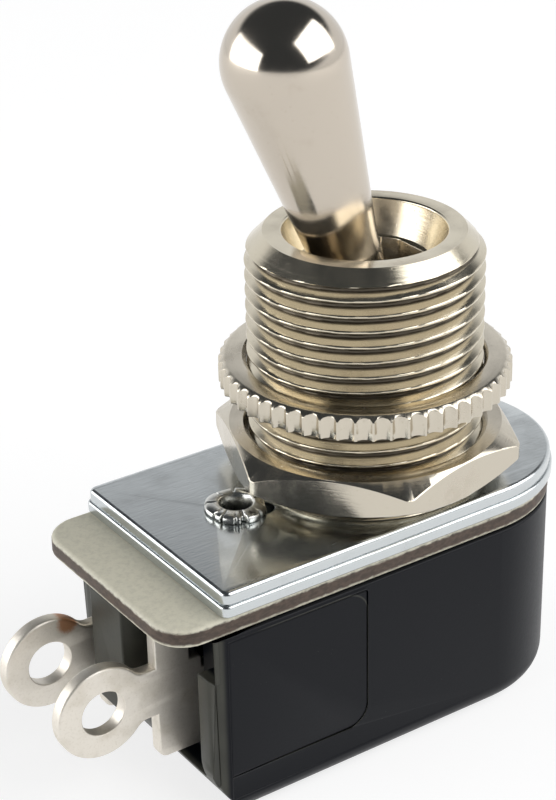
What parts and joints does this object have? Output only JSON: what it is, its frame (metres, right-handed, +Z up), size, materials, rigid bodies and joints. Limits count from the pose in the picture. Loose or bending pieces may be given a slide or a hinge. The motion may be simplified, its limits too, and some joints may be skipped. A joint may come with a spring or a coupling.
{
  "type": "toggle switch",
  "caption": "Panel toggle switch with a bat lever in a threaded bushing, ring and hexagon nuts, a plated cover on a black moulded base, and solder lugs at one end.",
  "frame": {"origin": "bushing axis at the top face of the upper plate", "axes": "+Z up the bushing, +X towards the round end, so that the lugs are at -X; the lever swings in the X-Z plane"},
  "size_m": [0.0308, 0.0152, 0.0383],
  "materials": {
    "phenolic": "black moulded phenolic, satin on the sides",
    "fibre": "tan laminate sheet with a browner cut edge",
    "plate": "bright zinc plating with a faint blue tone",
    "nickel": "satin nickel plating",
    "polish": "polished nickel plating",
    "tin": "tinned, slightly uneven",
    "rivet": "plated, rolled rim",
    "wire": "spring steel",
    "carrier": "brown laminate",
    "copper": "bare copper"
  },
  "bodies": {
    "housing": {"base": "phenolic", "insulator": "fibre", "lower_plate": "plate", "upper_plate": "plate", "bushing": "nickel", "lug_near": "tin", "lug_far": "tin", "rivet_lug_end": "rivet", "rivet_round_end": "rivet"},
    "lever": {"lever": "polish", "spring": "wire"},
    "plunger": {"plunger": "carrier"},
    "roller": {"contact_roller": "copper"},
    "hexagon_nut": {"hex_nut": "nickel"},
    "knurled_nut": {"ring_nut": "nickel"}
  },
  "joints": [
    {"name": "lever_throw", "type": "hinge", "parent": "housing", "child": "lever", "pos_m": [0, 0, 0.0084], "axis": [0, 1, 0], "range_deg": [0, 36]},
    {"name": "plunger_slide", "type": "slide", "parent": "lever", "child": "plunger", "axis": [-0.309, 0, 0.9511], "range_m": [0, 0.0002], "stiffness_N_per_m": 200, "springref_m": -0.001, "deforming": ["spring"]},
    {"name": "roller_roll", "type": "hinge", "parent": "plunger", "child": "roller", "pos_m": [0.00402, 0, -0.00396], "axis": [0, 1, 0], "range_deg": [-411, 0]},
    {"name": "ring_nut_screw", "type": "slide", "parent": "housing", "child": "knurled_nut", "axis": [0, 0, 1], "range_m": [-0.00079, 0.00556]},
    {"name": "hex_nut_screw", "type": "slide", "parent": "housing", "child": "hexagon_nut", "axis": [0, 0, 1], "range_m": [0, 0.00079375]}
  ],
  "couplings": [
    {"joint": "roller_roll", "follows": "lever_throw", "ratio": -11.4}
  ]
}
